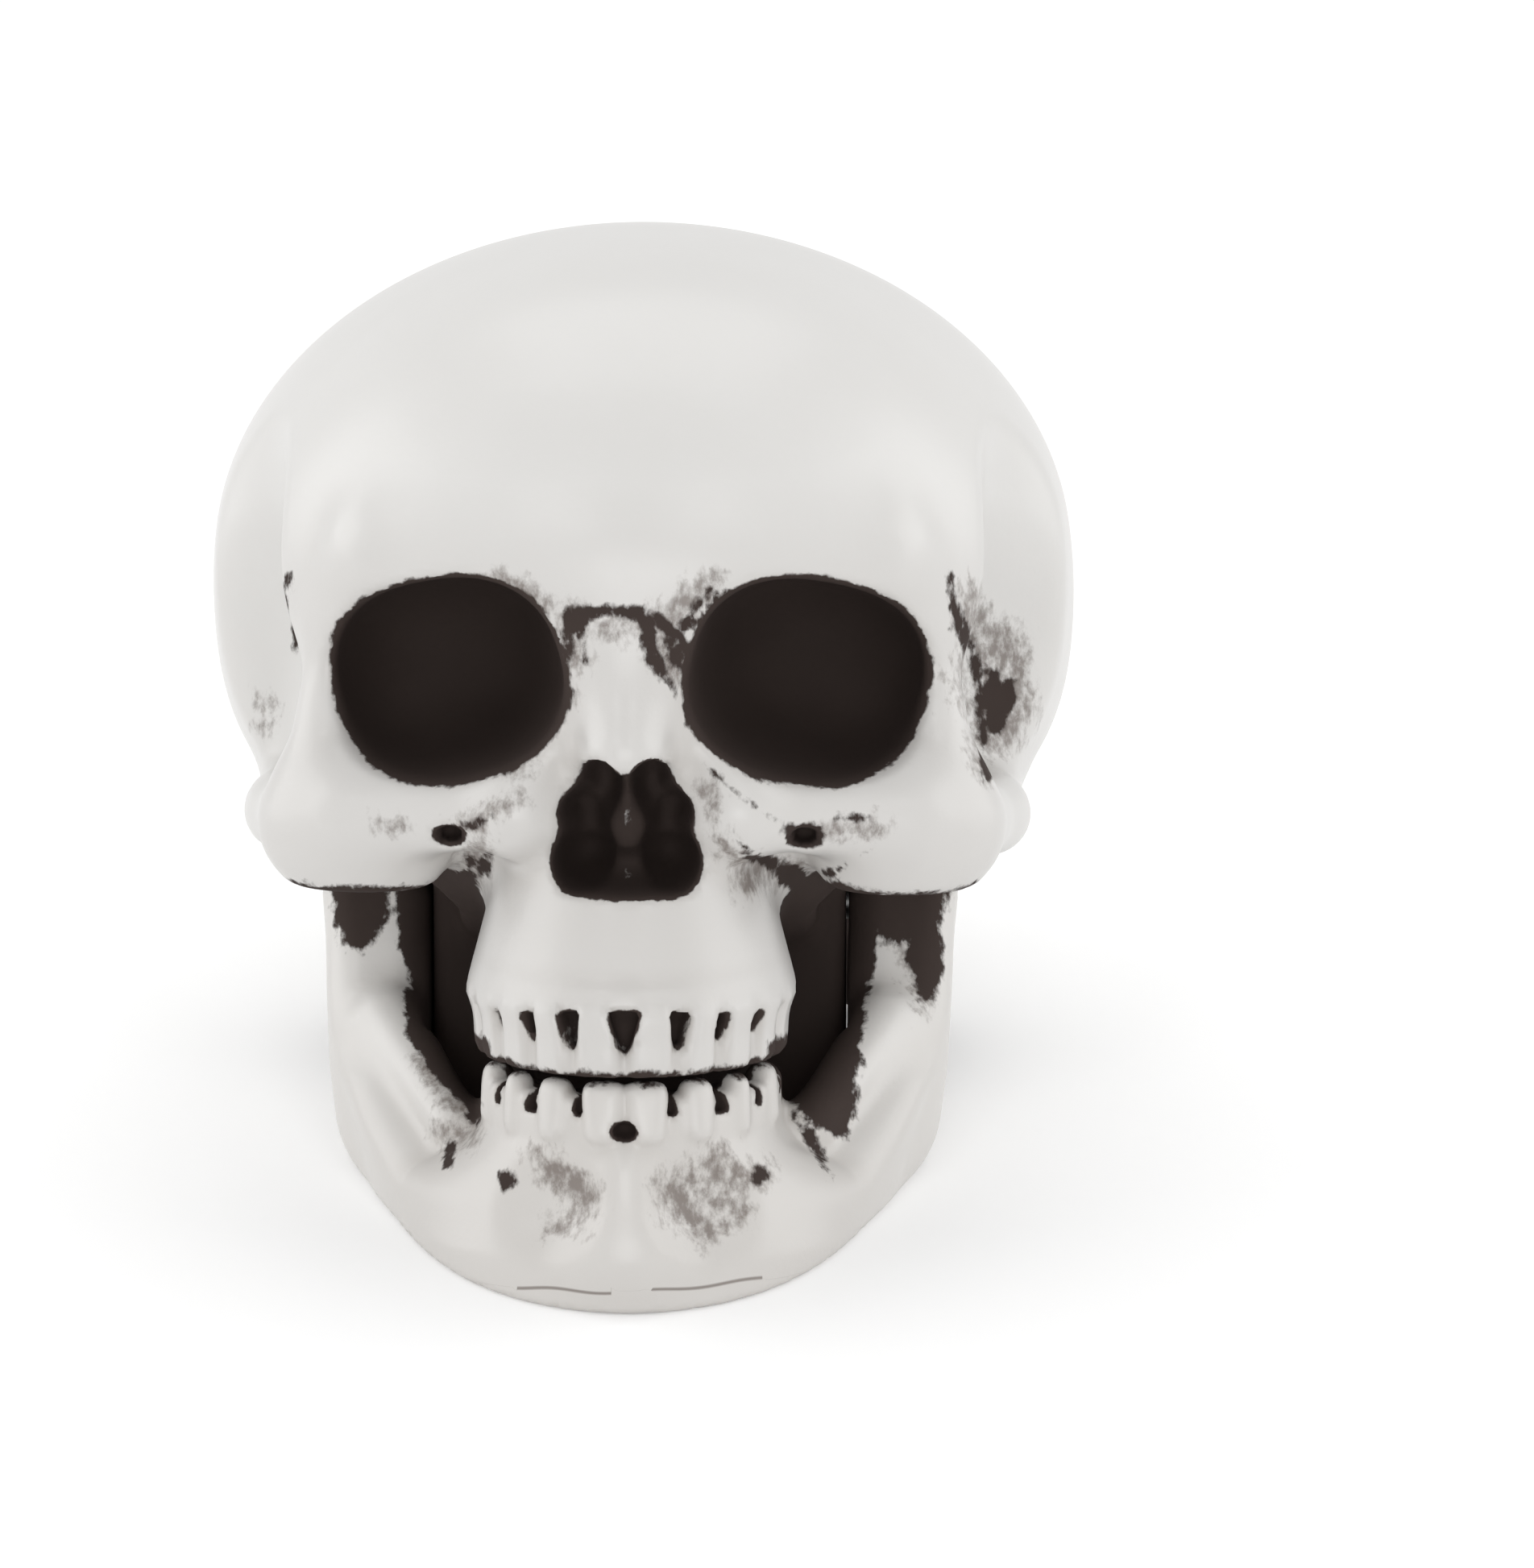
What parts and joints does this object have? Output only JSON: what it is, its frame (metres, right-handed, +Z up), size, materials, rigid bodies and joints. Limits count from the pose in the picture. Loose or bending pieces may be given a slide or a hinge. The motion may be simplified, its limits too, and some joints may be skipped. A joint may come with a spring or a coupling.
{
  "type": "halloween skull decoration",
  "caption": "Small hollow plastic skull ornament with deep eye sockets, moulded teeth and a lower jaw hinged on side pins, which rests on its jaw and occiput.",
  "frame": {"origin": "middle of the underside of the whole ornament, on the table plane it rests on", "axes": "+Z up, -Y the way the face looks, +X across the face to the right of someone facing it"},
  "size_m": [0.0458, 0.058, 0.0466],
  "materials": {
    "bone_shell": "bone-white moulded plastic, semi-gloss, with dark brown paint wiped into the hollows",
    "bone_jaw": "bone-white moulded plastic, semi-gloss, with dark paint between the teeth and a grey wash on the chin",
    "pin_steel": "bright plated steel",
    "screw_steel": "zinc-plated steel"
  },
  "bodies": {
    "jaw": {"lower_jaw": "bone_jaw"},
    "skull": {"face_shell": "bone_shell", "rear_shell": "bone_shell", "jaw_pin_left": "pin_steel", "jaw_pin_right": "pin_steel", "shell_screw_left": "screw_steel", "shell_screw_right": "screw_steel", "shell_screw_top": "screw_steel"}
  },
  "joints": [
    {"name": "jaw_hinge", "type": "hinge", "parent": "jaw", "child": "skull", "pos_m": [0, -0.00046, 0.01024], "axis": [-1, 0, 0], "range_deg": [0, 22]}
  ]
}
